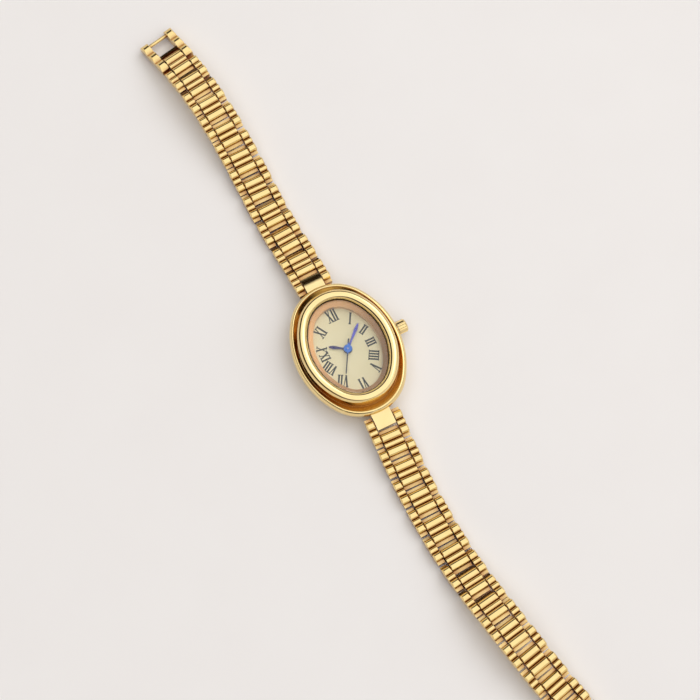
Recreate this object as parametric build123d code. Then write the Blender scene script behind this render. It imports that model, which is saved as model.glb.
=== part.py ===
from build123d import *
import os
from math import asin, atan2, cos, degrees, radians, sin, sqrt

# Oval watch on a three-row link bracelet. Lengths are in millimetres and angles in degrees.
# +Z is up through the glass, +Y points to 12 o'clock and +X to the crown at 3 o'clock.
# The origin is the middle of the case back's flat underside.
# Every oval is four arcs that meet smoothly: two round ends and two long sides. Two ovals are given, the outer
# edge of the case and the outer wall of the bezel, and the rest stand a constant inset inside one of the two.

# The two ovals
case_half_width = 10.6
case_half_length = 14.0
bezel_side_step = 1.3
bezel_end_step = 2.1
end_round_share = 0.85

# Stack through the head, from the back up
back_thickness = 0.9
strap_clearance = 0.06
strap_thickness = 0.12
bridge_rise = 0.24
bridge_thickness = 0.25
train_space = 0.9
plate_thickness = 0.5
motion_space = 0.55
dial_thickness = 0.35
dial_ring_height = 1.6
crystal_thickness = 0.95
bezel_lip_rise = 0.08
seat_clearance = 0.02
side_clearance = 0.05

strap_low = back_thickness + strap_clearance
cell_low = strap_low + strap_thickness
bridge_low = strap_low + bridge_rise
bridge_high = bridge_low + bridge_thickness
plate_low = bridge_high + train_space
plate_high = plate_low + plate_thickness
dial_low = plate_high + motion_space
dial_high = dial_low + dial_thickness
crystal_low = dial_high + dial_ring_height + seat_clearance
crystal_high = crystal_low + crystal_thickness

# Case back and its snap spigot
back_proud = 0.45
back_inset = 1.25
back_chamfer = 0.3
spigot_inset = 1.85
spigot_thickness = 0.5
spigot_height = 0.5
gasket_width = 0.2
gasket_height = 0.35
notch_radius = 0.9
notch_depth = 0.35
notch_height = 0.3

# Case band: a full belly, a rounded rim and a cove inside it
floor_inset = 1.5
flare_inset = 0.19
flare_height = 3.2
belly_height = 4.0
rim_inset = 0.45
rim_height = 4.9
crest_inset = 0.9
crest_drop = 0.18
crest_sagitta = 0.16
band_inner_inset = 2.6
bezel_seat_rise = 0.2

# Bezel: a half-round ring with a straight bore
bezel_width = 1.98
bezel_shoulder_drop = 0.1
crystal_gasket_width = 0.12
crystal_gasket_height = 0.6
crystal_chamfer = 0.12

# Dial and the sloped ring round it
dial_inset = 2.8
dial_ring_lip = 0.2
dial_ring_slope_width = 0.85
dial_ring_foot = 1.15
dial_hole_radius = 0.66

# Lug tabs, one at each end, shaped to fill the bracelet's centre row
tab_length = 2.95
tab_root_inset = 1.3
tab_axis_height = 3.0
tab_relief = 0.35
tab_shoulder = 0.4
tab_crown_sagitta = 0.36

# Bracelet links
pitch = 6.25
link_gap = 0.32
row_gap = 0.2
centre_width = 3.85
side_width = 1.6
link_half_height = 1.1
ledge_length = 0.6
ledge_height = 0.14
rib_valley = 0.4
narrow_rib_drop = 0.14
wide_rib_share = 0.375
rib_bulge = 0.14
end_relief = 0.1
edge_chamfer = 0.3
bar_length = 1.3
bar_low = 0.85
bar_high = 0.05
pin_radius = 0.4
pin_clearance = 0.095
pin_recess = 0.06

# How the two arms lie: each far pin's height above rest in shares of the lift, and the slack turn at each pin
arm_lift = 3.5
upper_height_shares = (0.26, 0.05, 0.02, 0.1, 0.36, 0.73, 0.94, 0.9, 0.53, 0.05)
lower_height_shares = (0.26, 0.05, 0.02, 0.025, 0.12, 0.5, 0.9, 1.0, 0.71, 0.31, 0.051, 0.028)
upper_turns = (2.0, 2.0, -1.5, -2.0, 1.1, 2.0, 2.0, 2.0, 2.0, 2.0)
lower_turns = (-2.0, 0.5, 2.0, 2.0, 2.0, 2.0, 2.0, 2.0, 2.0, 2.0, 0.7, 0.0)

# End frame
frame_length = 6.9
frame_rib_count = 3
frame_bar_length = 0.5
frame_bar_low = 0.8
frame_bar_high = 0.35
catch_pin_radius = 0.36
catch_pin_setback = 0.8

# Clasp blade, hook and cover
cover_pin_place = 2.25
cover_pin_height = 0.35
cover_pin_radius = 0.3
ear_round_radius = 0.6
ear_rib_length = 2.1
web_length = 1.0
web_rise = 0.72
blade_width = 4.3
blade_thickness = 0.55
hook_place = 13.0
hook_inner_radius = 0.46
hook_wall = 0.42
hook_width = 3.8
hook_angle = 165.0
cover_gap = 0.15
cover_floor = 0.22
cover_skirt_depth = 0.85
cover_skirt_thickness = 0.5
cover_lip_depth = 0.5
cover_lip_thickness = 0.4
row_groove_depth = 0.15
tongue_radius = 0.55

# Crown, tube and stem
crown_axis_height = 2.7
crown_radius = 1.35
crown_length = 1.9
crown_standoff = 0.15
crown_recess_radius = 1.03
crown_recess_depth = 1.2
crown_dome_length = 0.4
crown_dome_sagitta = 0.1
crown_face_radius = 0.75
flute_count = 10
flute_radius = 0.26
flute_reach = 0.12
tube_radius = 0.85
tube_wall = 0.4
tube_proud = 1.25
crown_gasket_thickness = 0.14
crown_gasket_length = 0.25
stem_depth = 1.55
stem_clearance = 0.05
stem_inner_place = 3.2
sliding_pinion_radius = 0.6
sliding_pinion_length = 0.85
sliding_pinion_place = 3.35
groove_place = 5.2
groove_length = 0.45
groove_radius = 0.22
pull_travel = 0.9

# Hands
hour_hand_length = 3.8
minute_hand_length = 5.7
seconds_hand_length = 5.1
seconds_tail_length = 2.0
leaf_width = 0.68
seconds_hand_width = 0.24
seconds_tail_width = 0.3
hand_thickness = 0.12
seconds_hand_thickness = 0.1
hand_space = 0.12
hour_hub_radius = 0.88
minute_hub_radius = 0.74
seconds_hub_radius = 0.8
hour_hand_angle = 303.0
minute_hand_angle = 47.0
seconds_hand_angle = 210.0
leaf_half_width_shares = ((0.0, 0.42), (0.35, 0.5), (0.74, 1.0), (0.93, 0.5), (1.0, 0.0))

# Movement
plate_inset = 3.5
holder_inset = 2.7
holder_width = 0.8
cell_radius = 3.4
cell_height = 2.1
cell_end_margin = 1.5
cell_clearance = 0.1
cell_step_height = 0.3
cell_step_inset = 0.35
strap_width = 1.6
strap_reach = 4.1
strap_leg_thickness = 0.4
arbor_radius = 0.12
arbor_clearance = 0.03
wheel_thickness = 0.12
wheel_rim_share = 0.82
wheel_hub_share = 0.3
mesh_gap = 0.03
level_gap = 0.08
cannon_radius = 0.34
cannon_clearance = 0.04
hour_pipe_wall = 0.16
stem_slot_half_width = 1.0
stem_slot_start = 2.8
centre = (0, 0)
rotor_place = (-2.9, 3.7)
intermediate_place = (-1.9, 1.7)
third_place = (2.1, 0.9)
train_places = (rotor_place, intermediate_place, centre, third_place)
minute_wheel_place = (-1.2, 1.2)
rotor_ratio = 6
intermediate_ratio = 5
seconds_ratio = 7.5
third_ratio = 8
cannon_ratio = 3
minute_ratio = 4
rotor_radius = 0.5
rotor_height = 0.6
bridge_pad_radius = 0.9
bridge_pillar_radius = 0.35
bridge_pillars = ((-0.3, 4.4), (3.9, 2.6))
coil_side_margin = 2.5
coil_low_end = -1.6
coil_high_end = 4.6
coil_radius = 0.65
core_radius = 0.25
core_foot_width = 0.9
core_foot_length = 0.7
core_foot_gap = 0.15
stator_thickness = 0.3
stator_hole_clearance = 0.1
stator_neck_low = -3.7
stator_neck_high = -2.9
stator_head_edge = -1.5
stator_head_low = 2.4
board_half_length = 3.6
board_near = 5.9
board_far = 8.0
board_thickness = 0.3
can_radius = 0.5
can_length = 4.5

# Worked out from the sizes above
case_oval = (case_half_width, case_half_length)
bezel_oval = (case_half_width - bezel_side_step, case_half_length - bezel_end_step)
overrun = case_half_width
band_floor = back_thickness - back_proud
spigot_high = back_thickness + spigot_height
bezel_seat = dial_high + bezel_seat_rise
bezel_lip = crystal_high + bezel_lip_rise
bezel_shoulder = bezel_lip - bezel_shoulder_drop
crystal_inset = bezel_width + crystal_gasket_width
dial_ring_neck_inset = bezel_width + side_clearance
dial_ring_top_inset = dial_ring_neck_inset + dial_ring_lip
dial_opening_inset = dial_ring_top_inset + dial_ring_slope_width
cell_place = holder_inset + holder_width + cell_end_margin + cell_radius - case_half_length
coil_place = plate_inset + coil_side_margin - case_half_width
link_reach = pitch / 4 - link_gap / 2
block_length = pitch - link_gap
rib_run = block_length - 2 * ledge_length
wide_rib = rib_run * wide_rib_share
narrow_rib = rib_run - 2 * wide_rib
half_centre = centre_width / 2
side_inner = half_centre + row_gap
bracelet_half_width = side_inner + side_width
pin_half_length = bracelet_half_width - pin_recess
tab_pin_place = case_half_length + tab_length - link_reach
tube_inner_end = case_half_width - band_inner_inset
tube_outer_end = case_half_width + tube_proud
crown_start = case_half_width + crown_standoff
crown_end = crown_start + crown_length
stem_radius = tube_radius - tube_wall - stem_clearance
cannon_bore = arbor_radius + cannon_clearance
hour_pipe_bore = cannon_radius + cannon_clearance
hour_pipe_radius = hour_pipe_bore + hour_pipe_wall
hour_hand_low = dial_high + hand_space * 2
minute_hand_low = hour_hand_low + hand_thickness + hand_space
seconds_hand_low = minute_hand_low + hand_thickness + hand_space


def end_radius(outline):
    """The radius of an oval's round ends."""
    return outline[0] * end_round_share


def side_radius(outline):
    """The radius of an oval's long sides, which makes them run smoothly into its round ends."""
    half_width, half_length = outline
    end = end_radius(outline)
    return ((half_length - end) ** 2 + half_width**2 - end**2) / (2 * (half_width - end))


def oval_edges(outline, inset):
    """The arcs of an oval that stands a constant inset inside an outline, from 3 o'clock round."""
    half_width, half_length = outline
    end, side = end_radius(outline), side_radius(outline)
    end_middle, side_middle = half_length - end, side - half_width
    reach = atan2(end_middle, side_middle)
    joint = ((end - inset) * cos(reach), end_middle + (end - inset) * sin(reach))
    tip = (0, half_length - inset)
    flank = (half_width - inset, 0)
    right, top = joint
    return [
        ThreePointArc((right, -top), flank, (right, top)).edge(),
        ThreePointArc((right, top), tip, (-right, top)).edge(),
        ThreePointArc((-right, top), (-flank[0], 0), (-right, -top)).edge(),
        ThreePointArc((-right, -top), (0, -tip[1]), (right, -top)).edge(),
    ]


def oval_plate(inset, low, high, outline=case_oval):
    """A flat oval plate between two heights."""
    return extrude(Pos(Z=low) * make_face(oval_edges(outline, inset)), high - low)


def oval_ring(outer_inset, inner_inset, low, high, outline=case_oval):
    """A flat ring between two insets."""
    hole = oval_plate(inner_inset, low - overrun, high + overrun, outline)
    return oval_plate(outer_inset, low, high, outline) - hole


def disc(radius, low, high, place=centre):
    """An upright cylinder between two heights."""
    return extrude(Pos(place[0], place[1], low) * Circle(radius), high - low)


def slab(x_low, x_high, y_low, y_high, z_low, z_high):
    """A block between six faces."""
    size = (x_high - x_low, y_high - y_low, z_high - z_low)
    middle = Pos((x_low + x_high) / 2, (y_low + y_high) / 2, (z_low + z_high) / 2)
    return middle * Box(*size)


def cross_rod(radius, half_length, along=0, height=0):
    """A rod across the bracelet, on X."""
    return Pos(0, along, height) * Rot(0, 90, 0) * Cylinder(radius, 2 * half_length)


def stem_rod(radius, x_low, x_high):
    """A rod on the crown's axis."""
    return Pos((x_low + x_high) / 2, 0, crown_axis_height) * Rot(0, 90, 0) * Cylinder(radius, x_high - x_low)


def lengthwise(outline, x_low, x_high):
    """A side-view outline of (Y, Z) edges, drawn out across the bracelet."""
    face = Plane.YZ * make_face(outline)
    return extrude(Pos(x_low, 0, 0) * face, x_high - x_low, dir=(1, 0, 0))


def polyline(points):
    """Straight edges through a row of points."""
    return Polyline(*points).edges()


def turned_ring(edges, outline=case_oval):
    """A section of (inset, height) edges carried round an oval, turned about the middle of each arc."""
    half_width, half_length = outline
    end, side = end_radius(outline), side_radius(outline)
    end_middle, side_middle = half_length - end, side - half_width
    reach = degrees(atan2(end_middle, side_middle))
    section = make_face(edges)
    ring = None
    for middle, radius, start, sweep_angle in (
        ((-side_middle, 0), side, -reach, 2 * reach),
        ((0, end_middle), end, reach, 180 - 2 * reach),
        ((side_middle, 0), side, 180 - reach, 2 * reach),
        ((0, -end_middle), end, 180 + reach, 180 - 2 * reach),
    ):
        upright = Plane.XZ * Pos(radius, 0) * mirror(section, Plane.YZ)
        turned = Pos(*middle, 0) * Rot(0, 0, start) * revolve(upright, Axis.Z, sweep_angle)
        ring = turned if ring is None else ring + turned
    return ring


def belly_arc(far):
    """An arc from the belly, where the band stands upright, to another point of the band's section."""
    across, up = far[0], far[1] - belly_height
    radius = (across**2 + up**2) / (2 * across)
    half = atan2(up, radius - across) / 2
    middle = (radius - radius * cos(half), belly_height + radius * sin(half))
    return ThreePointArc((0, belly_height), middle, far).edge()


def make_case_body():
    """The band with its belly, rim and cove, the two lug tabs and the crown tube's hole."""
    rim = (rim_inset, rim_height)
    crest = (crest_inset, rim_height - crest_drop)
    flare = (flare_inset, flare_height)
    spigot_wall = spigot_inset - gasket_width - side_clearance
    inside = polyline(
        [
            crest,
            (band_inner_inset, crest[1]),
            (band_inner_inset, spigot_high + seat_clearance),
            (spigot_wall, spigot_high + seat_clearance),
            (spigot_wall, back_thickness),
            (back_inset, back_thickness),
            (back_inset, band_floor),
            (floor_inset, band_floor),
        ]
    )
    outside = [
        Line((floor_inset, band_floor), flare).edge(),
        belly_arc(flare),
        belly_arc(rim),
        SagittaArc(rim, crest, crest_sagitta).edge(),
    ]
    foot = Pos(Z=bezel_seat) * make_face(oval_edges(bezel_oval, 0))
    brim = Pos(Z=crest[1]) * make_face(oval_edges(case_oval, crest_inset))
    cove = loft([foot, brim], ruled=True) + extrude(brim, overrun)
    tab = make_lug_tab()
    body = turned_ring([*inside, *outside]) + tab + Rot(0, 0, 180) * tab
    return body - cove - stem_rod(tube_radius, 0, case_half_width + overrun)


def make_lug_tab():
    """One plain convex tab, drilled for the first link's pin."""
    root = case_half_length - tab_root_inset
    end = tab_pin_place + link_reach
    low = tab_axis_height - link_half_height
    high = tab_axis_height + link_half_height
    shoulder = tab_axis_height + tab_shoulder
    sides = polyline(
        [(root, high), (root, low), (end - tab_relief, low), (end, tab_axis_height), (end, shoulder)]
    )
    top = SagittaArc((end, shoulder), (root, high), -tab_crown_sagitta).edge()
    tab = lengthwise([*sides, top], -half_centre, half_centre)
    bore = cross_rod(pin_radius + pin_clearance, centre_width, tab_pin_place, tab_axis_height)
    return tab - bore


def make_bezel():
    """A half-round ring whose arc stands square on its outer wall, with a straight bore."""
    rise = bezel_lip - bezel_shoulder
    width = bezel_width - seat_clearance
    radius = (width**2 + rise**2) / (2 * width)
    walls = polyline(
        [
            (bezel_width, bezel_lip),
            (bezel_width, bezel_seat),
            (seat_clearance, bezel_seat),
            (seat_clearance, bezel_shoulder),
        ]
    )
    crest = (seat_clearance + radius, bezel_shoulder + radius)
    arc = ThreePointArc((seat_clearance, bezel_shoulder), crest, (bezel_width, bezel_lip))
    return turned_ring([*walls, arc.edge()], bezel_oval)


def make_crystal():
    """The flat glass, with its upper edge broken."""
    glass = oval_plate(crystal_inset + seat_clearance, crystal_low, crystal_high, bezel_oval)
    return chamfer(glass.faces().sort_by(Axis.Z)[-1].edges(), crystal_chamfer)


def make_crystal_gasket():
    """The thin ring that the glass is pressed into."""
    outer, inner = bezel_width + seat_clearance, crystal_inset + seat_clearance / 2
    return oval_ring(outer, inner, crystal_low, crystal_low + crystal_gasket_height, bezel_oval)


def make_dial_ring():
    """The ring between glass and dial: a flange on the dial's edge and a neck that slopes inside."""
    low = dial_high
    high = crystal_low - seat_clearance
    hole = oval_plate(dial_ring_top_inset, low - overrun, high + overrun, bezel_oval)
    flange = oval_plate(dial_inset, low, bezel_seat - seat_clearance) - hole
    neck = polyline(
        [
            (dial_opening_inset, low),
            (dial_opening_inset, low + dial_ring_foot),
            (dial_ring_top_inset, high),
            (dial_ring_neck_inset, high),
            (dial_ring_neck_inset, low),
            (dial_opening_inset, low),
        ]
    )
    return flange + turned_ring(neck, bezel_oval)


def make_dial():
    """The dial plate with its centre hole."""
    return oval_plate(dial_inset, dial_low, dial_high) - disc(dial_hole_radius, 0, crystal_low)


def make_case_back():
    """The snap back: a flat plate, a spigot ring and an opening notch at 6 o'clock."""
    plate = oval_plate(back_inset + side_clearance, 0, back_thickness)
    plate = chamfer(plate.faces().sort_by(Axis.Z)[0].edges(), back_chamfer)
    spigot = oval_ring(spigot_inset, spigot_inset + spigot_thickness, back_thickness, spigot_high)
    edge = case_half_length - back_inset
    notch_place = (0, -edge - notch_radius + notch_depth)
    notch = disc(notch_radius, back_thickness - notch_height, back_thickness, notch_place)
    return plate + spigot - notch


def make_back_gasket():
    """The seal between the spigot and the case."""
    outer = spigot_inset - gasket_width
    return oval_ring(outer, spigot_inset - seat_clearance, back_thickness, back_thickness + gasket_height)


def ribbed_top(start, lengths):
    """Half-round ribs in a row, as side-view edges from the start outwards. Short ribs stand lower."""
    edges = []
    place = start
    longest = max(lengths)
    for length in lengths:
        crest = link_half_height if length == longest else link_half_height - narrow_rib_drop
        rib = ThreePointArc((place, rib_valley), (place + length / 2, crest), (place + length, rib_valley))
        edges.append(rib.edge())
        place += length
    return edges


def block_outline(start, lengths, ledge=ledge_length):
    """The side view of a block: a ribbed top between two low ledges, and ends relieved below the pin line."""
    rib_start = start + ledge
    rib_end = rib_start + sum(lengths)
    end = rib_end + ledge
    top = ribbed_top(rib_start, lengths)
    base = polyline(
        [
            (rib_end, rib_valley),
            (rib_end, ledge_height),
            (end, 0),
            (end - end_relief, -link_half_height),
            (start + end_relief, -link_half_height),
            (start, 0),
            (rib_start, ledge_height),
            (rib_start, rib_valley),
        ]
    )
    return [*top, *base]


def centre_section(length_low, length_high):
    """The end view of the centre row, with its long upper edges broken."""
    shape = Rectangle(centre_width, 2 * link_half_height)
    shape = chamfer(shape.vertices().group_by(Axis.Y)[-1], edge_chamfer / 2)
    return between(shape, length_low, length_high)


def side_section(length_low, length_high):
    """The end view of the right-hand row, with its outer edges broken more than its inner one."""
    middle = side_inner + side_width / 2
    shape = Pos(middle, 0) * Rectangle(side_width, 2 * link_half_height)
    outer = shape.vertices().group_by(Axis.X)[-1]
    shape = chamfer(outer, edge_chamfer)
    inner_top = shape.vertices().group_by(Axis.X)[0].sort_by(Axis.Y)[-1]
    shape = chamfer(inner_top, edge_chamfer / 2)
    return between(shape, length_low, length_high)


def between(shape, length_low, length_high):
    """An end view drawn out along the bracelet."""
    face = Plane.XZ.offset(-length_low) * shape
    return extrude(face, length_high - length_low, dir=(0, 1, 0))


def centre_block(start, lengths):
    """A ribbed block of the centre row."""
    block = lengthwise(block_outline(start, lengths), -half_centre, half_centre)
    return block & centre_section(start, start + block_length)


def rib_ends(start, lengths):
    """The plan of a right-hand block, whose outer face bulges at each rib."""
    edge = bracelet_half_width - rib_bulge
    rib_start = start + (block_length - sum(lengths)) / 2
    edges = []
    place = rib_start
    for length in lengths:
        middle = (bracelet_half_width, place + length / 2)
        edges.append(ThreePointArc((edge, place), middle, (edge, place + length)).edge())
        place += length
    far_end = place + rib_start - start
    near_corners = [(side_inner, start), (edge, start), (edge, rib_start)]
    walls = polyline([(edge, place), (edge, far_end), (side_inner, far_end), *near_corners])
    plan = Pos(Z=-link_half_height) * make_face([*edges, *walls])
    return extrude(plan, 2 * link_half_height)


def side_blocks(outline, start, end):
    """A pair of blocks of the two side rows."""
    block = lengthwise(outline, side_inner, bracelet_half_width) & side_section(start, end)
    return block + mirror(block, Plane.YZ)


def make_pin():
    """The pin that joins a link to the one before it."""
    return cross_rod(pin_radius, pin_half_length)


def make_link():
    """One cast link: side blocks over the pin, a centre block half a pitch further out and a low bar."""
    ribs = [wide_rib, narrow_rib, wide_rib]
    side_start = -link_reach
    bulges = rib_ends(side_start, ribs)
    sides = side_blocks(block_outline(side_start, ribs), side_start, side_start + block_length)
    sides = sides & (bulges + mirror(bulges, Plane.YZ))
    centre = centre_block(side_start + pitch / 2, ribs)
    centre = centre - cross_rod(pin_radius + pin_clearance, centre_width, pitch)
    half_bar = bracelet_half_width - edge_chamfer
    bar_start = (pitch - bar_length) / 2
    bar = slab(-half_bar, half_bar, bar_start, bar_start + bar_length, -bar_low, bar_high)
    pin = make_pin()
    return Compound(children=[(sides + centre + bar - pin).solid(), pin.solid()])


def make_end_frame():
    """The open end frame: two ribbed rails, a near bar and a far pin for the hook."""
    rib = (frame_length + link_reach) / frame_rib_count
    rails = side_blocks(block_outline(-link_reach, [rib] * frame_rib_count, 0), -link_reach, frame_length)
    bar_start = link_reach + link_gap
    inner = side_inner + side_width / 2
    bar = slab(-inner, inner, bar_start, bar_start + frame_bar_length, -frame_bar_low, frame_bar_high)
    pin = make_pin()
    catch_pin = cross_rod(catch_pin_radius, pin_half_length, frame_length - catch_pin_setback)
    frame = rails + bar - pin - catch_pin
    return Compound(children=[frame.solid(), pin.solid(), catch_pin.solid()])


def make_clasp_base():
    """The clasp's ears, web, blade and J-shaped hook."""
    ear_rib = (-link_reach, rib_valley), (-link_reach + ear_rib_length, rib_valley)
    ear_top = ThreePointArc(ear_rib[0], (-link_reach + ear_rib_length / 2, link_half_height), ear_rib[1])
    near = cover_pin_place - ear_round_radius
    far = cover_pin_place + ear_round_radius
    round_top = (cover_pin_place, cover_pin_height + ear_round_radius)
    ear_round = ThreePointArc((near, cover_pin_height), round_top, (far, cover_pin_height))
    joining = polyline([ear_rib[1], (near, cover_pin_height)])
    base = polyline(
        [
            (far, cover_pin_height),
            (far, -link_half_height),
            (-link_reach + end_relief, -link_half_height),
            (-link_reach, 0),
            ear_rib[0],
        ]
    )
    outline = [ear_top.edge(), *joining, ear_round.edge(), *base]
    ears = side_blocks(outline, -link_reach, far)
    inner = side_inner + side_width / 2
    web_high = -link_half_height + web_rise
    web = slab(-inner, inner, far - web_length, far, -link_half_height, web_high)
    half_blade = blade_width / 2
    blade_high = -link_half_height + blade_thickness
    blade = slab(-half_blade, half_blade, far - web_length, hook_place, -link_half_height, blade_high)
    pin = make_pin()
    cover_pin = cross_rod(cover_pin_radius, pin_half_length, cover_pin_place, cover_pin_height)
    base = ears + web + blade + make_hook() - pin - cover_pin
    return Compound(children=[base.solid(), pin.solid(), cover_pin.solid()])


def make_hook():
    """A hook that opens towards the bracelet, rising from the blade's end."""
    outer = hook_inner_radius + hook_wall
    height = -link_half_height + outer
    start = -90.0
    reach = CenterArc((hook_place, height), outer, start, hook_angle)
    bore = CenterArc((hook_place, height), hook_inner_radius, start, hook_angle)
    ends = polyline([reach @ 1, bore @ 1]), polyline([bore @ 0, reach @ 0])
    outline = [reach.edge(), *ends[0], bore.edge(), *ends[1]]
    return lengthwise(outline, -hook_width / 2, hook_width / 2)


def make_clasp_cover():
    """The cover: a ribbed shell with side skirts, a lip at its free end and a tongue on the cover pin."""
    start = cover_pin_place + ear_round_radius + cover_gap
    lengths = [wide_rib, narrow_rib, wide_rib] * 2
    end = start + sum(lengths)
    skirt_low = -cover_skirt_depth
    base = polyline([(end, rib_valley), (end, skirt_low), (start, skirt_low), (start, rib_valley)])
    shell = lengthwise([*ribbed_top(start, lengths), *base], -bracelet_half_width, bracelet_half_width)
    inner = bracelet_half_width - cover_skirt_thickness
    hollow = slab(-inner, inner, start - overrun, end + overrun, -overrun, cover_floor)
    groove_low = rib_valley - row_groove_depth + cover_gap
    for side in (-1, 1):
        x_low, x_high = sorted((side * half_centre, side * side_inner))
        hollow = hollow + slab(x_low, x_high, start - overrun, end + overrun, groove_low, overrun)
    end_view = Rectangle(2 * bracelet_half_width, 2 * link_half_height)
    end_view = chamfer(end_view.vertices().group_by(Axis.Y)[-1], edge_chamfer)
    shell = (shell - hollow) & between(end_view, start, end)
    lip = slab(-inner, inner, end - cover_lip_thickness, end, -cover_lip_depth, cover_floor)
    tongue_half = half_centre - row_gap
    tongue_high = cover_pin_height + tongue_radius
    tongue = cross_rod(tongue_radius, tongue_half, cover_pin_place, cover_pin_height)
    strip = slab(-tongue_half, tongue_half, cover_pin_place, start + cover_gap, cover_floor, tongue_high)
    bore = cross_rod(cover_pin_radius + stem_clearance, centre_width, cover_pin_place, cover_pin_height)
    return shell + lip + tongue + strip - bore


def make_crown():
    """The fluted, domed crown."""
    body_end = crown_length - crown_dome_length
    half = polyline([(0, crown_length), (0, 0), (crown_radius, 0), (crown_radius, body_end)])
    face_edge = (crown_face_radius, crown_length)
    dome = SagittaArc((crown_radius, body_end), face_edge, -crown_dome_sagitta).edge()
    face = polyline([face_edge, (0, crown_length)])
    knob = revolve(Plane.XZ * make_face([*half, dome, *face]), Axis.Z)
    for index in range(flute_count):
        angle = 360 / flute_count * index
        place = Rot(0, 0, angle) * Pos(crown_radius + flute_radius - flute_reach, 0, crown_length / 2)
        knob = knob - place * Cylinder(flute_radius, crown_length + overrun)
    recess = disc(crown_recess_radius, -overrun, crown_recess_depth)
    socket = disc(stem_radius, 0, stem_depth)
    return Pos(crown_start, 0, crown_axis_height) * Rot(0, 90, 0) * (knob - recess - socket)


def make_crown_tube():
    """The tube pressed into the case, which the stem runs in."""
    tube = stem_rod(tube_radius, tube_inner_end, tube_outer_end)
    return tube - stem_rod(tube_radius - tube_wall, 0, crown_end)


def make_crown_gasket():
    """The seal in the crown's recess, round the tube."""
    inner = tube_radius + seat_clearance
    start = crown_start + seat_clearance
    ring = stem_rod(inner + crown_gasket_thickness, start, start + crown_gasket_length)
    return ring - stem_rod(inner, 0, crown_end)


def make_stem():
    """The stem, with the groove that the setting lever holds."""
    stem = stem_rod(stem_radius, stem_inner_place, crown_start + stem_depth)
    groove = stem_rod(overrun, groove_place - groove_length / 2, groove_place + groove_length / 2)
    return stem - (groove - stem_rod(groove_radius, 0, crown_end))


def make_sliding_pinion():
    """The pinion at the stem's inner end."""
    start = sliding_pinion_place
    pinion = stem_rod(sliding_pinion_radius, start, start + sliding_pinion_length)
    return pinion - stem_rod(stem_radius, 0, crown_end)


def make_setting_lever():
    """The fork that sits in the stem's groove, on its foot."""
    half_fork = groove_length / 2 - side_clearance
    half_width = stem_slot_half_width - side_clearance * 2
    low = bridge_high + level_gap
    fork = slab(
        groove_place - half_fork, groove_place + half_fork, -half_width, half_width,
        low, crown_axis_height + stem_radius / 2,
    )
    slot = stem_rod(groove_radius + side_clearance, 0, crown_end)
    notch_half = groove_radius + side_clearance
    notch = slab(0, crown_end, -notch_half, notch_half, low + wheel_thickness, crown_axis_height)
    foot = slab(
        groove_place - half_fork - pull_travel, groove_place + half_fork, -half_width, half_width,
        low, low + wheel_thickness,
    )
    return fork - slot - notch + foot


def leaf_hand(length, angle, low, hub_radius, bore):
    """A leaf hand that widens towards its tip."""
    right = [(leaf_width / 2 * wide, length * along) for along, wide in leaf_half_width_shares]
    left = [(-x, y) for x, y in reversed(right[:-1])]
    blade = extrude(Pos(Z=low) * make_face(Polyline(*right, *left, close=True).edges()), hand_thickness)
    hand = blade + disc(hub_radius, low, low + hand_thickness) - disc(bore, 0, crystal_low)
    return Rot(0, 0, -angle) * hand


def make_hour_hand():
    """The hour hand on the hour wheel's pipe."""
    return leaf_hand(hour_hand_length, hour_hand_angle, hour_hand_low, hour_hub_radius, hour_pipe_radius)


def make_minute_hand():
    """The minute hand on the cannon pinion."""
    return leaf_hand(minute_hand_length, minute_hand_angle, minute_hand_low, minute_hub_radius, cannon_radius)


def make_seconds_hand():
    """A thin straight hand with a hub and a wider, short tail."""
    half = seconds_hand_width / 2
    half_tail = seconds_tail_width / 2
    low = seconds_hand_low
    high = low + seconds_hand_thickness
    needle = slab(-half, half, 0, seconds_hand_length, low, high)
    needle = needle + slab(-half_tail, half_tail, -seconds_tail_length, 0, low, high)
    hand = needle + disc(seconds_hub_radius, low, high)
    return Rot(0, 0, -seconds_hand_angle) * (hand - disc(arbor_radius, 0, crystal_low))


def make_movement_holder():
    """The plastic ring that fills the space between movement and case, and carries the dial."""
    ring = oval_ring(holder_inset, holder_inset + holder_width, back_thickness + seat_clearance, dial_low)
    return ring - stem_rod(stem_radius + side_clearance * 2, 0, case_half_width)


def pivot_holes(places):
    """Running holes for upright arbors, right through the movement."""
    return [disc(arbor_radius + arbor_clearance, 0, crystal_low, place) for place in places]


def make_main_plate():
    """The oval main plate, open for the battery, the stem and the arbors."""
    plate = oval_plate(plate_inset, plate_low, plate_high)
    plate = plate - disc(cell_radius + cell_clearance, 0, crystal_low, (0, cell_place))
    half = stem_slot_half_width
    plate = plate - slab(stem_slot_start, overrun, -half, half, 0, crystal_low)
    plate = plate - disc(cannon_radius + cannon_clearance, 0, crystal_low)
    plate = plate - pivot_holes(train_places)
    return plate + disc(arbor_radius, plate_high, dial_low - level_gap, minute_wheel_place)


def make_train_bridge():
    """The bridge under the train, on two pillars."""
    pads = [*train_places, *bridge_pillars]
    rims = [(Pos(*place) * Circle(bridge_pad_radius)).edge() for place in pads]
    bridge = extrude(Pos(Z=bridge_low) * make_hull(rims), bridge_thickness)
    for place in bridge_pillars:
        bridge = bridge + disc(bridge_pillar_radius, bridge_high, plate_low, place)
    return bridge - pivot_holes(train_places)


def pinion_radius(first, second, ratio):
    """The pitch radius of a pair's pinion, from where its two arbors stand and its ratio."""
    spread = sqrt((first[0] - second[0]) ** 2 + (first[1] - second[1]) ** 2)
    return (spread - mesh_gap) / (ratio + 1)


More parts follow.
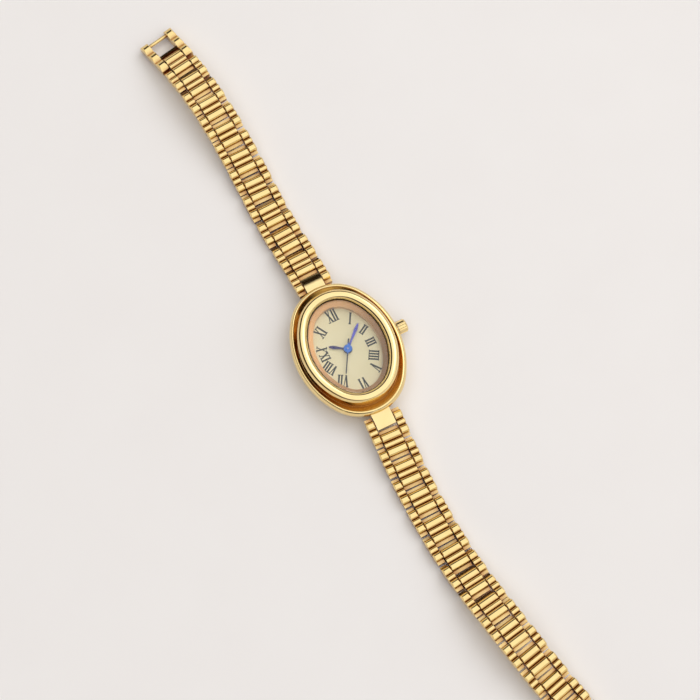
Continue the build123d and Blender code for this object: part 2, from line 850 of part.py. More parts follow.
# Pitch radii of the train's pinions; each wheel's is its pinion's times the ratio
rotor_pinion = pinion_radius(rotor_place, intermediate_place, rotor_ratio)
intermediate_pinion = pinion_radius(intermediate_place, centre, intermediate_ratio)
seconds_pinion = pinion_radius(centre, third_place, seconds_ratio)
third_pinion = pinion_radius(third_place, centre, third_ratio)
cannon_pinion = pinion_radius(centre, minute_wheel_place, cannon_ratio)
minute_pinion = pinion_radius(minute_wheel_place, centre, minute_ratio)

# Levels of the train between bridge and main plate, and of the motion work above the plate
first_level = bridge_high + level_gap
second_level = first_level + wheel_thickness + level_gap
third_level = second_level + wheel_thickness + level_gap
motion_level = plate_high + level_gap
hour_level = motion_level + wheel_thickness + level_gap
arbor_low = bridge_low + level_gap / 2
arbor_high = plate_low + plate_thickness / 2
rotor_low = plate_low - rotor_height - level_gap


def spoked_wheel(radius, low, place=centre):
    """A train wheel with four crossings cut out of it."""
    high = low + wheel_thickness
    hub = radius * wheel_hub_share
    cut = disc(radius * wheel_rim_share, low, high, place) - disc(hub, 0, crystal_low, place)
    half = hub / 2
    for turn in (0, 90):
        cut = cut - Pos(*place) * Rot(0, 0, turn) * slab(-radius, radius, -half, half, 0, crystal_low)
    return disc(radius, low, high, place) - cut


def make_rotor():
    """The magnet rotor on its arbor with its pinion."""
    rotor = disc(rotor_radius, rotor_low, rotor_low + rotor_height, rotor_place)
    pinion = disc(rotor_pinion, first_level, rotor_low, rotor_place)
    return rotor + pinion + disc(arbor_radius, arbor_low, arbor_high, rotor_place)


def make_intermediate_wheel():
    """The wheel between rotor and seconds wheel."""
    wheel = spoked_wheel(rotor_pinion * rotor_ratio, first_level, intermediate_place)
    pinion = disc(intermediate_pinion, second_level, second_level + wheel_thickness, intermediate_place)
    return wheel + pinion + disc(arbor_radius, arbor_low, arbor_high, intermediate_place)


def make_seconds_wheel():
    """The sweep seconds wheel on the long arbor that carries the seconds hand."""
    wheel = spoked_wheel(intermediate_pinion * intermediate_ratio, second_level)
    pinion = disc(seconds_pinion, first_level, second_level)
    return wheel + pinion + disc(arbor_radius, arbor_low, seconds_hand_low + seconds_hand_thickness)


def make_third_wheel():
    """The wheel between seconds wheel and centre wheel."""
    wheel = spoked_wheel(seconds_pinion * seconds_ratio, first_level, third_place)
    pinion = disc(third_pinion, third_level, third_level + wheel_thickness, third_place)
    return wheel + pinion + disc(arbor_radius, arbor_low, arbor_high, third_place)


def make_centre_wheel():
    """The centre wheel with the cannon pinion that carries the minute hand."""
    wheel = spoked_wheel(third_pinion * third_ratio, third_level)
    cannon = disc(cannon_radius, third_level, minute_hand_low + hand_thickness)
    leaves = disc(cannon_pinion, motion_level, hour_level - level_gap)
    return wheel + cannon + leaves - disc(cannon_bore, 0, crystal_low)


def make_minute_wheel():
    """The motion-work wheel on the main plate's post."""
    wheel = spoked_wheel(cannon_pinion * cannon_ratio, motion_level, minute_wheel_place)
    pinion = disc(minute_pinion, motion_level, hour_level + wheel_thickness, minute_wheel_place)
    return wheel + pinion - disc(arbor_radius + arbor_clearance, 0, crystal_low, minute_wheel_place)


def make_hour_wheel():
    """The hour wheel and its pipe, which carries the hour hand."""
    wheel = spoked_wheel(minute_pinion * minute_ratio, hour_level)
    pipe = disc(hour_pipe_radius, hour_level, hour_hand_low + hand_thickness)
    return wheel + pipe - disc(hour_pipe_bore, 0, crystal_low)


def make_battery():
    """The button cell, stepped at its lower rim."""
    high = cell_low + cell_height
    body = disc(cell_radius, cell_low + cell_step_height, high, (0, cell_place))
    return body + disc(cell_radius - cell_step_inset, cell_low, high, (0, cell_place))


def make_battery_strap():
    """The spring strap that holds the cell, with a leg at each end up to the main plate."""
    half = strap_width / 2
    low, high = cell_place - half, cell_place + half
    strap = slab(-strap_reach, strap_reach, low, high, strap_low, cell_low)
    for side in (-1, 1):
        x_low, x_high = sorted((side * strap_reach, side * (strap_reach - strap_leg_thickness)))
        strap = strap + slab(x_low, x_high, low, high, strap_low, plate_low)
    return strap


coil_height = plate_low - coil_radius - side_clearance
stator_low = plate_low - stator_thickness - side_clearance


def lying_rod(radius, low, high):
    """A rod along the coil's axis."""
    return Pos(coil_place, (low + high) / 2, coil_height) * Rot(90, 0, 0) * Cylinder(radius, high - low)


def make_coil():
    """The wound coil, as a plain bobbin."""
    return lying_rod(coil_radius, coil_low_end, coil_high_end) - lying_rod(core_radius, -overrun, overrun)


def make_coil_core():
    """The iron core through the coil, with a foot at each end under the stator."""
    low_foot = coil_low_end - core_foot_gap - core_foot_length
    high_foot = coil_high_end + core_foot_gap + core_foot_length
    core = lying_rod(core_radius, low_foot, high_foot)
    half = core_foot_width / 2
    for start in (low_foot, high_foot - core_foot_length):
        foot = slab(
            coil_place - half, coil_place + half, start, start + core_foot_length,
            coil_height - core_radius, stator_low,
        )
        core = core + foot
    return core


def make_stator():
    """The C-shaped stator plate, bored for the rotor."""
    left = coil_place - core_foot_width / 2
    low_end = coil_low_end - core_foot_gap
    high_end = coil_high_end + core_foot_gap
    outline = [
        (left, high_end),
        (left, high_end + core_foot_length),
        (stator_head_edge, high_end + core_foot_length),
        (stator_head_edge, stator_head_low),
        (stator_neck_high, stator_head_low),
        (stator_neck_high, low_end - core_foot_length),
        (left, low_end - core_foot_length),
        (left, low_end),
        (stator_neck_low, low_end),
        (stator_neck_low, high_end),
    ]
    plate = extrude(Pos(Z=stator_low) * make_face(Polyline(*outline, close=True).edges()), stator_thickness)
    return plate - disc(rotor_radius + stator_hole_clearance, 0, crystal_low, rotor_place)


def make_circuit_board():
    """The circuit board under the main plate, at 12 o'clock."""
    low = plate_low - board_thickness
    return slab(-board_half_length, board_half_length, board_near, board_far, low, plate_low)


def make_quartz_can():
    """The quartz crystal's can, lying on the board."""
    height = plate_low - board_thickness - can_radius
    middle = (board_near + board_far) / 2
    return Pos(0, middle, height) * Rot(0, 90, 0) * Cylinder(can_radius, can_length)


def arm_chain(heading, height_shares, turns):
    """Where each piece of one arm lies: its pin, its plan heading, its slope and its bend at the pin."""
    place = Vector(0, tab_pin_place, tab_axis_height).rotate(Axis.Z, heading)
    chain = []
    slope_before = 0.0
    for share, turn in zip(height_shares, turns):
        heading += turn
        height = link_half_height + arm_lift * share
        slope = degrees(asin((height - place.Z) / pitch))
        chain.append({"pin": place, "heading": heading, "slope": slope, "bend": slope_before - slope})
        flat = pitch * cos(radians(slope))
        step = Vector(-flat * sin(radians(heading)), flat * cos(radians(heading)), height - place.Z)
        place = place + step
        slope_before = slope
    return chain


def laid(shape, spot):
    """A piece of an arm, put where the chain says."""
    pin = spot["pin"]
    return Pos(pin.X, pin.Y, pin.Z) * Rot(0, 0, spot["heading"]) * Rot(spot["slope"], 0, 0) * shape


upper_chain = arm_chain(0.0, upper_height_shares, upper_turns)
lower_chain = arm_chain(180.0, lower_height_shares, lower_turns)


def make_parts():
    """Every node by its name."""
    parts = {
        "case_body": make_case_body(),
        "bezel": make_bezel(),
        "crystal": make_crystal(),
        "crystal_gasket": make_crystal_gasket(),
        "dial_ring": make_dial_ring(),
        "dial": make_dial(),
        "case_back": make_case_back(),
        "back_gasket": make_back_gasket(),
        "crown": make_crown(),
        "crown_tube": make_crown_tube(),
        "crown_gasket": make_crown_gasket(),
        "stem": make_stem(),
        "sliding_pinion": make_sliding_pinion(),
        "setting_lever": make_setting_lever(),
        "hour_hand": make_hour_hand(),
        "minute_hand": make_minute_hand(),
        "seconds_hand": make_seconds_hand(),
        "movement_holder": make_movement_holder(),
        "main_plate": make_main_plate(),
        "train_bridge": make_train_bridge(),
        "rotor": make_rotor(),
        "intermediate_wheel": make_intermediate_wheel(),
        "seconds_wheel": make_seconds_wheel(),
        "third_wheel": make_third_wheel(),
        "centre_wheel": make_centre_wheel(),
        "minute_wheel": make_minute_wheel(),
        "hour_wheel": make_hour_wheel(),
        "battery": make_battery(),
        "battery_strap": make_battery_strap(),
        "coil": make_coil(),
        "coil_core": make_coil_core(),
        "stator": make_stator(),
        "circuit_board": make_circuit_board(),
        "quartz_can": make_quartz_can(),
    }
    link = make_link()
    for number, spot in enumerate(upper_chain[:-1], start=1):
        parts[f"upper_link_{number:02d}"] = laid(link, spot)
    for number, spot in enumerate(lower_chain[:-1], start=1):
        parts[f"lower_link_{number:02d}"] = laid(link, spot)
    parts["end_frame"] = laid(make_end_frame(), upper_chain[-1])
    parts["clasp_base"] = laid(make_clasp_base(), lower_chain[-1])
    parts["clasp_cover"] = laid(make_clasp_cover(), lower_chain[-1])
    return parts


os.makedirs("parts", exist_ok=True)
for name, shape in make_parts().items():
    export_step(shape, f"parts/{name}.step")
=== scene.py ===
# %% [markdown]
# A small oval watch on a link bracelet. Its solid parts are packed already, each in its place, so
# this lesson loads them, gives every part the surface that its real material has, prints the twelve
# numerals on the dial, and sets the watch on a pale table in soft light. Loading them first keeps
# every size right, because nothing has to be fitted.

# %% Load the solid parts
import math
import bpy
from mathutils import Matrix, Vector


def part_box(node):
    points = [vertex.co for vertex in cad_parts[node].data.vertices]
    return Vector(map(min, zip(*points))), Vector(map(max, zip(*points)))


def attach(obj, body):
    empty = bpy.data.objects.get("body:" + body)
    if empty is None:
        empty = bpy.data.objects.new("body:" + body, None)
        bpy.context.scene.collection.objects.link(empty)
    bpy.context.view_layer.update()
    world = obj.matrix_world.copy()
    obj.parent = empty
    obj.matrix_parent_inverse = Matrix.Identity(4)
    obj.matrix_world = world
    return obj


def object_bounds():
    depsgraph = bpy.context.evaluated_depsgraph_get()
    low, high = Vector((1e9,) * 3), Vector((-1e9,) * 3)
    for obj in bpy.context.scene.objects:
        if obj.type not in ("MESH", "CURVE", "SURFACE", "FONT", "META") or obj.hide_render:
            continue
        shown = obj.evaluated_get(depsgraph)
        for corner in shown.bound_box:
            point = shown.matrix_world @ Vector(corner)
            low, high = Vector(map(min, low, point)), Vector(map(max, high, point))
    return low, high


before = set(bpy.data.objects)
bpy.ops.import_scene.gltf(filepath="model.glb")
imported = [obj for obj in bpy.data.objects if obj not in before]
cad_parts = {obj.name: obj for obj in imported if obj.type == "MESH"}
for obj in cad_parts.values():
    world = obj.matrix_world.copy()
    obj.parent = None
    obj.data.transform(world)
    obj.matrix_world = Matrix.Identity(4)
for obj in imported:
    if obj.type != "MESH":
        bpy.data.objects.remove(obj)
cad_low, cad_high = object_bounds()
MM = 0.001
print("parts:", len(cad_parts))
print("size in mm:", [round(side / MM, 2) for side in cad_high - cad_low])

# %% [markdown]
# The parts come in as bodies that can move, such as the crown and every link. A surface finish is a
# material, and a material is a small network of nodes. Two helpers keep those networks short to
# read: one turns a colour as it is written on a paint chart into the linear light that the renderer
# adds up, and one adds a node with its settings and links.

# %% A colour, and a node with its settings and links
def colour(code):
    """The linear colour of an sRGB hex code."""
    parts = [int(code[start:start + 2], 16) / 255 for start in (1, 3, 5)]
    return [part / 12.92 if part <= 0.04045 else ((part + 0.055) / 1.055) ** 2.4
            for part in parts] + [1.0]


def add(tree, kind, sockets=None, **settings):
    """Adds a node, sets it, and fills its inputs with values or with the outputs of other nodes."""
    node = tree.nodes.new(kind)
    for name, value in settings.items():
        setattr(node, name, value)
    for name, value in (sockets or {}).items():
        if isinstance(value, bpy.types.NodeSocket):
            tree.links.new(value, node.inputs[name])
        else:
            node.inputs[name].default_value = value
    return node


# A Mix node keeps its sockets for numbers, vectors and colours side by side. These are the numbers
# of the factor and the two colours that go in, and of the mixed colour that comes out.
FACTOR, FIRST, SECOND, MIXED = 0, 6, 7, 2
print("a middle grey sends back", round(colour("#808080")[0], 3), "of the light")

# %% [markdown]
# Every finish starts the same way: an empty material, a Principled shader and the object's own
# coordinates, which stay with the part when it moves. What makes it gold or steel is what is then
# plugged into it. The base is a helper here, so that each finish below says only what is its own.

# %% Start a finish
def start_finish(name, **sockets):
    """A new material with a Principled shader, its tree and the object's coordinates."""
    material = bpy.data.materials.new(name)
    material.use_nodes = True
    tree = material.node_tree
    tree.nodes.clear()
    named = {key.replace("_", " "): value for key, value in sockets.items()}
    shader = add(tree, "ShaderNodeBsdfPrincipled", named)
    add(tree, "ShaderNodeOutputMaterial", {"Surface": shader.outputs[0]})
    return material, tree, shader, add(tree, "ShaderNodeTexCoord").outputs["Object"]


def join(tree, source, node, socket):
    """Links an output to a node's input."""
    tree.links.new(source, node.inputs[socket])


print("ready: a helper that starts a finish, and one that links it up")

# %% [markdown]
# The case, the bezel and the whole bracelet are gold plate, polished on a felt wheel. A metal's
# colour is the colour of its mirror image, so it is metallic all the way, and its look comes from
# what it reflects. Polishing leaves three marks: a slow cloudiness of a few millimetres, a faint
# waviness where the wheel pressed harder, which bends the mirror image, and hair-thin wheel marks.
# Those are really some hundredths of a millimetre wide, and here they are drawn coarser, or they
# wouldn't show. The grooves, which no wheel reaches, keep a browner tone, and between the links,
# where skin and cloth have left their traces too, the plate is red-brown and dull. That brown is
# partly this tarnish and partly painted shade and painted reflection of the gold walls, and it
# darkens every hollow, the case's cove as much as the gaps between the links. The Ambient
# Occlusion node finds the grooves, so nothing has to be painted by hand. The sloped ring round the
# dial has the same build in rose gold, and was left satin, so its mirror image is soft.

# %% Polished gold plate
CLOUD_SIZE = 2.5 * MM
WAVE_SIZE, WAVE_HEIGHT, WAVE_STRENGTH = 1.4 * MM, 0.02 * MM, 0.6
MARK_WIDTH, MARK_HEIGHT, MARK_STRENGTH = 0.15 * MM, 0.01 * MM, 0.04
# How near a wall has to be to make a groove, the range of openness over which the brown of
# tarnish and painted shade fades out, and the rays that look for walls
GROOVE_REACH, GROOVE_FADE, GROOVE_RAYS = 1.6 * MM, 0.6, 4


def polished_gold(name, tone, cloud_tone, tarnish_and_shade_tone, smooth, rough, groove_rough, open_at):
    """Gold plate from a wheel: a cloudy mirror, smooth to rough, browner where it isn't open, as
    tarnish and painted shade.
    """
    material, tree, shader, place = start_finish(name, Metallic=1.0)
    cloud = add(tree, "ShaderNodeTexNoise", {
        "Vector": place, "Scale": 1 / CLOUD_SIZE, "Detail": 3.0})
    marks = add(tree, "ShaderNodeTexNoise", {
        "Vector": place, "Scale": 1 / MARK_WIDTH, "Detail": 2.0})
    hollow = add(tree, "ShaderNodeAmbientOcclusion", {"Distance": GROOVE_REACH},
                 samples=GROOVE_RAYS)
    bare = add(tree, "ShaderNodeMapRange", {
        "Value": hollow.outputs["AO"], "From Min": open_at - GROOVE_FADE, "From Max": open_at})
    plate = add(tree, "ShaderNodeMix", {
        FACTOR: cloud.outputs["Fac"], FIRST: colour(tone), SECOND: colour(cloud_tone)},
        data_type="RGBA")
    # The hollows take the brown tone: partly tarnish, partly painted shade and painted reflection.
    tarnished_and_shaded = add(tree, "ShaderNodeMix", {
        FACTOR: bare.outputs["Result"], FIRST: colour(tarnish_and_shade_tone), SECOND: plate.outputs[MIXED]},
        data_type="RGBA")
    join(tree, tarnished_and_shaded.outputs[MIXED], shader, "Base Color")
    polish = add(tree, "ShaderNodeMapRange", {
        "Value": cloud.outputs["Fac"], "To Min": smooth, "To Max": rough})
    gloss = add(tree, "ShaderNodeMapRange", {
        "Value": bare.outputs["Result"], "To Min": groove_rough,
        "To Max": polish.outputs["Result"]})
    join(tree, gloss.outputs["Result"], shader, "Roughness")
    wave = add(tree, "ShaderNodeTexNoise", {
        "Vector": place, "Scale": 1 / WAVE_SIZE, "Detail": 1.0})
    wavy = add(tree, "ShaderNodeBump", {
        "Height": wave.outputs["Fac"], "Strength": WAVE_STRENGTH, "Distance": WAVE_HEIGHT})
    hair = add(tree, "ShaderNodeBump", {
        "Height": marks.outputs["Fac"], "Strength": MARK_STRENGTH, "Distance": MARK_HEIGHT,
        "Normal": wavy.outputs["Normal"]})
    join(tree, hair.outputs["Normal"], shader, "Normal")
    return material


gold = polished_gold("Polished gold plate", "#F5DFA4", "#ECCF92", "#C8A470",
                     smooth=0.08, rough=0.14, groove_rough=0.15, open_at=0.85)
# The links' red-brown gaps are partly wear and partly painted shade and painted reflection.
link_gold = polished_gold("Polished gold plate, worn links in painted shade", "#F4DC9E", "#E8C884", "#92502A",
                          smooth=0.08, rough=0.15, groove_rough=0.36, open_at=0.97)
rose_gold = polished_gold("Satin rose gold plate", "#F6DCB6", "#ECCCA2", "#D29C68",
                          smooth=0.24, rough=0.34, groove_rough=0.4, open_at=0.9)
print("made:", gold.name + ",", link_gold.name, "and", rose_gold.name)

# %% [markdown]
# The dial is a brass plate sprayed with a cream lacquer and baked, so it is satin: it has a soft
# sheen and no mirror image. A lacquer is a pigment under a clear skin, so the base isn't metallic,
# and a coat gives the skin. The fine grain of the spray is a few hundredths of a millimetre, drawn
# coarser here.

# %% Sprayed cream lacquer
SPRAY_CLOUD = 4.0 * MM
SPRAY_GRAIN, GRAIN_HEIGHT, GRAIN_STRENGTH = 0.25 * MM, 0.01 * MM, 0.05
SATIN_SMOOTH, SATIN_ROUGH = 0.42, 0.55


def sprayed_lacquer():
    """Satin cream lacquer with the fine grain of a spray gun."""
    material, tree, shader, place = start_finish(
        "Sprayed cream lacquer", IOR=1.5, Coat_Weight=0.25, Coat_Roughness=0.3)
    cloud = add(tree, "ShaderNodeTexNoise", {
        "Vector": place, "Scale": 1 / SPRAY_CLOUD, "Detail": 2.0})
    grain = add(tree, "ShaderNodeTexNoise", {
        "Vector": place, "Scale": 1 / SPRAY_GRAIN, "Detail": 2.0})
    tone = add(tree, "ShaderNodeMix", {
        FACTOR: cloud.outputs["Fac"], FIRST: colour("#F2E4BC"), SECOND: colour("#E9D8AC")},
        data_type="RGBA")
    join(tree, tone.outputs[MIXED], shader, "Base Color")
    satin = add(tree, "ShaderNodeMapRange", {
        "Value": grain.outputs["Fac"], "To Min": SATIN_SMOOTH, "To Max": SATIN_ROUGH})
    join(tree, satin.outputs["Result"], shader, "Roughness")
    relief = add(tree, "ShaderNodeBump", {
        "Height": grain.outputs["Fac"], "Strength": GRAIN_STRENGTH, "Distance": GRAIN_HEIGHT})
    join(tree, relief.outputs["Normal"], shader, "Normal")
    return material


cream = sprayed_lacquer()
print("made:", cream.name)

# %% [markdown]
# The hands are steel that was polished and then heated until a thin oxide turned it blue. The blade
# of a hand is thin and runs through the colours fast, so it is violet, and the thick hub in the
# middle stays at a clear blue. So the colour goes by the distance from the hands' axis, which is a
# length in the X and Y of the object's coordinates, and a slow noise makes it uneven. The seconds
# hand is a mere wire and has gone on to a dark grey-blue. The hour hand's hub is given a dark navy
# instead, as painted shade for the shadow of the minute hand's hub that lies over it.

# %% Heat-blued steel
HUB_EDGE, BLADE_START = 0.85 * MM, 1.25 * MM
HEAT_PATCH, HEAT_SHIFT = 1.2 * MM, 0.3 * MM


def blued_steel(name, hub_tone, blade_tone, smooth, rough):
    """Polished steel with a blue oxide skin, in one tone at the hub and another along the blade."""
    material, tree, shader, place = start_finish(name, Metallic=1.0)
    flat = add(tree, "ShaderNodeVectorMath", {0: place, 1: (1.0, 1.0, 0.0)}, operation="MULTIPLY")
    reach = add(tree, "ShaderNodeVectorMath", {0: flat.outputs[0]}, operation="LENGTH")
    heat = add(tree, "ShaderNodeTexNoise", {
        "Vector": place, "Scale": 1 / HEAT_PATCH, "Detail": 2.0})
    uneven = add(tree, "ShaderNodeMath", {
        0: heat.outputs["Fac"], 1: HEAT_SHIFT, 2: reach.outputs["Value"]}, operation="MULTIPLY_ADD")
    along = add(tree, "ShaderNodeMapRange", {
        "Value": uneven.outputs[0], "From Min": HUB_EDGE + HEAT_SHIFT / 2,
        "From Max": BLADE_START + HEAT_SHIFT / 2})
    tone = add(tree, "ShaderNodeMix", {
        FACTOR: along.outputs["Result"], FIRST: colour(hub_tone), SECOND: colour(blade_tone)},
        data_type="RGBA")
    join(tree, tone.outputs[MIXED], shader, "Base Color")
    skin = add(tree, "ShaderNodeMapRange", {
        "Value": heat.outputs["Fac"], "To Min": smooth, "To Max": rough})
    join(tree, skin.outputs["Result"], shader, "Roughness")
    return material


finish_of_hand = {
    "minute_hand": blued_steel("Heat-blued steel, violet", "#2A60B4", "#4C4AA0", 0.2, 0.3),
    # The hour hand's dark hub tone is painted shade under the minute hand's hub.
    "hour_hand": blued_steel("Heat-blued steel, deep violet, hub in painted shade", "#1A3060", "#28225A", 0.2, 0.3),
    "seconds_hand": blued_steel("Heat-blued steel wire", "#2A62B4", "#38383E", 0.25, 0.35),
}
print("made:", ", ".join(made.name for made in finish_of_hand.values()))

# %% [markdown]
# The crystal is mineral glass, ground flat and polished. Glass bends light, and a renderer finds
# the way of light through it only by chance, so the dial under it would look too dark and noisy.
# The usual answer is used here: rays that only ask whether a lamp is in sight pass straight
# through, and all other rays meet real glass. A cloth has left faint wipes in its gloss.

# %% Polished mineral glass
WIPE_SIZE, WIPE_ROUGH = 2.5 * MM, 0.02


def mineral_glass():
    """Clear glass that lets the lamps' light straight through, with faint wipe marks."""
    material, tree, shader, place = start_finish(
        "Polished mineral glass", IOR=1.52, Transmission_Weight=1.0)
    shader.inputs["Base Color"].default_value = colour("#FBFDFA")
    wipes = add(tree, "ShaderNodeTexNoise", {
        "Vector": place, "Scale": 1 / WIPE_SIZE, "Detail": 2.0})
    gloss = add(tree, "ShaderNodeMapRange", {
        "Value": wipes.outputs["Fac"], "To Min": 0.0, "To Max": WIPE_ROUGH})
    join(tree, gloss.outputs["Result"], shader, "Roughness")
    ray = add(tree, "ShaderNodeLightPath")
    clear = add(tree, "ShaderNodeBsdfTransparent")
    either = add(tree, "ShaderNodeMixShader", {
        0: ray.outputs["Is Shadow Ray"], 1: shader.outputs[0], 2: clear.outputs[0]})
    output = next(node for node in tree.nodes if node.type == "OUTPUT_MATERIAL")
    join(tree, either.outputs[0], output, "Surface")
    return material


glass = mineral_glass()
print("made:", glass.name)

# %% [markdown]
# The parts inside the case are seen only when it is opened, and each still gets its own surface.
# Most are a metal or a plastic with a fine, even grain from how it was made, so one helper serves
# them all: it needs the two tones, the gloss, and the width of the grain.

# %% A finish with an even grain
GLOSS_SPREAD = 0.06
RELIEF_STRENGTH = 0.2


def grained(name, tone, deep_tone, metallic, rough, grain, stretch=(1, 1, 1), depth=0.02 * MM):
    """A surface with an even grain; stretch draws the grain out along an axis, as brushing does."""
    material, tree, shader, place = start_finish(name, Metallic=metallic)
    turned = add(tree, "ShaderNodeMapping", {"Vector": place, "Scale": stretch})
    noise = add(tree, "ShaderNodeTexNoise", {
        "Vector": turned.outputs[0], "Scale": 1 / grain, "Detail": 3.0})
    mixed = add(tree, "ShaderNodeMix", {
        FACTOR: noise.outputs["Fac"], FIRST: colour(tone), SECOND: colour(deep_tone)},
        data_type="RGBA")
    join(tree, mixed.outputs[MIXED], shader, "Base Color")
    gloss = add(tree, "ShaderNodeMapRange", {
        "Value": noise.outputs["Fac"], "To Min": rough - GLOSS_SPREAD,
        "To Max": rough + GLOSS_SPREAD})
    join(tree, gloss.outputs["Result"], shader, "Roughness")
    relief = add(tree, "ShaderNodeBump", {
        "Height": noise.outputs["Fac"], "Strength": RELIEF_STRENGTH, "Distance": depth})
    join(tree, relief.outputs["Normal"], shader, "Normal")
    return material


print("ready: a grain that lifts the surface by", RELIEF_STRENGTH, "of its depth")

# %% [markdown]
# Each part names the material it is made of, and a list gives the finish for each name, those made
# above among them. Rubber comes matt and nearly black from its mould, and acetal off-white with a
# waxy sheen. Steel is ground and brass is brushed, which draws their grain out in one direction
# and spreads the shine. Coil wire has a clear enamel over copper, and its turns lie close
# together. The circuit board has a green mask with a slight gloss.

# %% The list of finishes
# Along the part the brushed grain is ten times as long as it is wide, and the wire's turns run
# across the coil.
BRUSHED, WOUND = (1, 0.1, 1), (1, 8, 1)
finish_of = {
    "gold": gold,
    "ring_gold": rose_gold,
    "glass": glass,
    "dial_lacquer": cream,
    "blued_steel": finish_of_hand["hour_hand"],
    "seal": grained("Moulded nitrile rubber", "#26262A", "#1C1C1F", 0.0, 0.7, 0.2 * MM),
    "steel": grained("Ground steel", "#C4C5C9", "#B2B3B8", 1.0, 0.28, 0.15 * MM, BRUSHED),
    "movement_brass": grained("Brushed brass", "#D9B872", "#C9A560", 1.0, 0.3, 0.15 * MM, BRUSHED),
    "holder_plastic": grained("Moulded acetal plastic", "#E4E1D8", "#DAD6CC", 0.0, 0.5, 0.3 * MM),
    "copper_wire": grained("Enamelled copper wire", "#C06A38", "#8E4420", 0.9, 0.3, 0.12 * MM,
                           WOUND, 0.04 * MM),
    "board": grained("Solder-masked board", "#1F6B3C", "#17552F", 0.0, 0.35, 0.4 * MM),
}
print("finishes:", ", ".join(made.name for made in finish_of.values()))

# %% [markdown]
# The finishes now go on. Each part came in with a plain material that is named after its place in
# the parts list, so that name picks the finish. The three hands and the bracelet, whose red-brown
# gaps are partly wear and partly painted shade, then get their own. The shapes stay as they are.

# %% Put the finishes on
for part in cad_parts.values():
    for slot in part.material_slots:
        slot.material = finish_of[slot.material.name]
for name, finish in finish_of_hand.items():
    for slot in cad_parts[name].material_slots:
        slot.material = finish
for name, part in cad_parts.items():
    if name.startswith(("upper_link", "lower_link", "end_frame", "clasp")):
        for slot in part.material_slots:
            slot.material = link_gold if slot.material == gold else slot.material
print("dressed:", len(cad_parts), "parts")

# %% [markdown]
# The numerals are printed on the dial in dark ink: tall Roman numerals with one thick and one thin
# stroke and small serifs, each standing upright seen from the dial's middle, the four written with
# four strokes. Each fits between two ovals, so those at twelve and six are the tallest. A font
# would do too, but the one that comes with the program has no serifs, so the strokes are made.

# %% The numerals' sizes
DIAL_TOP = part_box("dial")[1].z
INK_THICKNESS = 0.02 * MM
OUTER_OVAL = (5.6 * MM, 8.95 * MM)
INNER_OVAL = (3.7 * MM, 6.25 * MM)
THICK, THIN, SERIF = 0.33 * MM, 0.17 * MM, 0.5 * MM
SIDE_GAP = 0.05 * MM
ADVANCE = {"I": 0.53 * MM, "V": 1.08 * MM, "X": 1.14 * MM}
NUMERALS = ("XII", "I", "II", "III", "IIII", "V", "VI", "VII", "VIII", "IX", "X", "XI")


def oval_reach(oval, angle):
    """How far an oval is from its middle, at a clock angle."""
    return 1 / math.hypot(math.sin(angle) / oval[0], math.cos(angle) / oval[1])


print("twelve is", round((OUTER_OVAL[1] - INNER_OVAL[1]) / MM, 2), "mm tall")

# %% [markdown]
# A stroke runs between two heights and may lean. It starts as a plane, which is sized in edit mode,
# and then its top edge alone is picked and moved aside, which makes it lean. Turning the plane
# would do that too, but moving the edge keeps the stroke's two ends level.

# %% One printed stroke
def stroke(low_x, high_x, low_y, high_y, width):
    """A stroke of a numeral from (low_x, low_y) to (high_x, high_y), as wide as given along x."""
    middle = (low_x, (low_y + high_y) / 2, 0.0)
    bpy.ops.object.select_all(action="DESELECT")
    bpy.ops.mesh.primitive_plane_add(size=1.0, location=middle, enter_editmode=True)
    bpy.ops.transform.resize(value=(width, high_y - low_y, 1.0), center_override=middle)
    if high_x != low_x:
        bpy.ops.mesh.select_all(action="DESELECT")
        bpy.ops.object.mode_set(mode="OBJECT")
        for corner in bpy.context.active_object.data.vertices:
            corner.select = corner.co.y > 0
        bpy.ops.object.mode_set(mode="EDIT")
        bpy.ops.transform.translate(value=(high_x - low_x, 0.0, 0.0))
    bpy.ops.object.mode_set(mode="OBJECT")
    return bpy.context.active_object


print("a thick stroke is", THICK / MM, "mm wide")

# %% [markdown]
# An I is one thick stroke, and a V and an X are a thick stroke that falls to the right and a thin
# one that rises. Every open end has a serif, which is a short, wide stroke that lies level. One
# function makes all three letters, because only the places of their strokes and ends differ.

# %% One letter
def letter(kind, left, tall):
    """The strokes of one letter that starts at left and is as tall as given, its middle at 0."""
    low, high = -tall / 2, tall / 2
    right, middle = left + ADVANCE[kind], left + ADVANCE[kind] / 2
    edge = THICK / 2 + SIDE_GAP
    if kind == "I":
        strokes = [(middle, middle, low, high, THICK)]
        feet = [(middle, low), (middle, high)]
    elif kind == "V":
        strokes = [(middle, left + edge, low, high, THICK), (middle, right - edge, low, high, THIN)]
        feet = [(left + edge, high), (right - edge, high)]
    else:
        strokes = [(right - edge, left + edge, low, high, THICK),
                   (left + edge, right - edge, low, high, THIN)]
        feet = [(left + edge, low), (right - edge, low), (left + edge, high), (right - edge, high)]
    for foot_x, foot_y in feet:
        inward = math.copysign(THIN, -foot_y)
        strokes.append((foot_x, foot_x, min(foot_y, foot_y + inward), max(foot_y, foot_y + inward),
                        SERIF))
    return [stroke(*each) for each in strokes]


print("an X takes up", ADVANCE["X"] / MM, "mm of the line")

# %% [markdown]
# A numeral is its letters side by side, joined, given the ink's thickness, and turned to its place.
# Its feet point at the dial's middle. The place goes into the mesh at the end, so that the finished
# piece sits at the origin.

